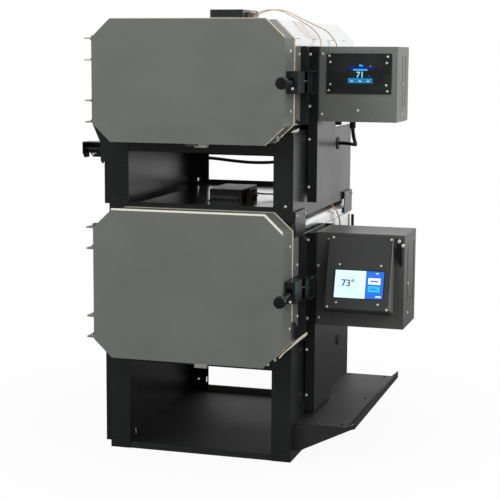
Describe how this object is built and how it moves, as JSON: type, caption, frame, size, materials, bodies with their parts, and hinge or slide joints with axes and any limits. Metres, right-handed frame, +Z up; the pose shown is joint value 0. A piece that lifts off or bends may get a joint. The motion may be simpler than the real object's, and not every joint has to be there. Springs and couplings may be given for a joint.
{
  "type": "heat treat oven stack",
  "caption": "Stack of front-opening heat treat ovens with side-hinged doors and control boxes, on a black steel stand with a side shelf.",
  "frame": {"origin": "centre of the stand's footprint on the floor", "axes": "+Z up, -Y out through the doors, +X towards the control boxes"},
  "size_m": [0.7248, 0.8314, 0.9435],
  "materials": {
    "bright_shell": "polished",
    "grey_paint": "satin",
    "case_paint": "satin",
    "black_paint": "satin",
    "black_steel": "satin",
    "firebrick": "matte",
    "ceramic_board": "matte",
    "heating_wire": "matte",
    "probe_block": "matte",
    "lead_sleeve": "matte",
    "black_plastic": "gloss",
    "display_plastic": "satin",
    "screen_glass": "gloss",
    "cord_rubber": "matte"
  },
  "bodies": {
    "stand": {"lower_shell": "bright_shell", "lower_end_frames": "grey_paint", "lower_lining": "firebrick", "lower_elements": "heating_wire", "lower_probe_cover": "black_paint", "lower_probe": "probe_block", "lower_probe_lead": "lead_sleeve", "lower_terminal_guard": "black_paint", "lower_body_hinges": "grey_paint", "lower_strike": "black_paint", "lower_control_case": "case_paint", "lower_display_housing": "display_plastic", "lower_display_screen": "screen_glass", "upper_shell": "bright_shell", "upper_end_frames": "grey_paint", "upper_lining": "firebrick", "upper_elements": "heating_wire", "upper_probe_cover": "black_paint", "upper_probe": "probe_block", "upper_probe_lead": "lead_sleeve", "upper_terminal_guard": "black_paint", "upper_body_hinges": "grey_paint", "upper_strike": "black_paint", "upper_control_case": "case_paint", "upper_display_panel": "display_plastic", "upper_display_screen": "screen_glass", "lower_side_left": "black_paint", "lower_side_right": "black_paint", "lower_tray": "black_paint", "lower_frames": "black_paint", "upper_side_left": "black_paint", "upper_side_right": "black_paint", "upper_frames": "black_paint", "cradles": "black_paint", "cable_ducts": "black_paint", "stacking_tabs": "black_paint", "side_shelf": "black_paint", "hanger_bracket": "black_paint", "cord_grommets": "cord_rubber", "control_cord": "cord_rubber", "power_cord": "cord_rubber", "cord_coil": "cord_rubber", "plug": "cord_rubber"},
    "lower_door": {"lower_door_skin": "grey_paint", "lower_door_boards": "ceramic_board", "lower_door_pan": "grey_paint", "lower_door_brick": "firebrick", "lower_door_hinges": "grey_paint", "lower_latch_housing": "black_paint"},
    "lower_lever": {"lower_latch_lever": "black_steel", "lower_latch_knob": "black_plastic"},
    "upper_door": {"upper_door_skin": "grey_paint", "upper_door_boards": "ceramic_board", "upper_door_pan": "grey_paint", "upper_door_brick": "firebrick", "upper_door_hinges": "grey_paint", "upper_latch_housing": "black_paint"},
    "upper_lever": {"upper_latch_lever": "black_steel", "upper_latch_knob": "black_plastic"}
  },
  "joints": [
    {"name": "lower_door_hinge", "type": "hinge", "parent": "stand", "child": "lower_door", "pos_m": [-0.214, -0.3125, 0.3715], "axis": [0, 0, -1], "range_deg": [0, 130]},
    {"name": "lower_latch", "type": "hinge", "parent": "lower_door", "child": "lower_lever", "pos_m": [0.2145, -0.3155, 0.3715], "axis": [-1, 0, 0], "range_deg": [0, 11.5]},
    {"name": "upper_door_hinge", "type": "hinge", "parent": "stand", "child": "upper_door", "pos_m": [-0.214, -0.3125, 0.79], "axis": [0, 0, -1], "range_deg": [0, 130]},
    {"name": "upper_latch", "type": "hinge", "parent": "upper_door", "child": "upper_lever", "pos_m": [0.2145, -0.3155, 0.79], "axis": [-1, 0, 0], "range_deg": [0, 8]}
  ]
}
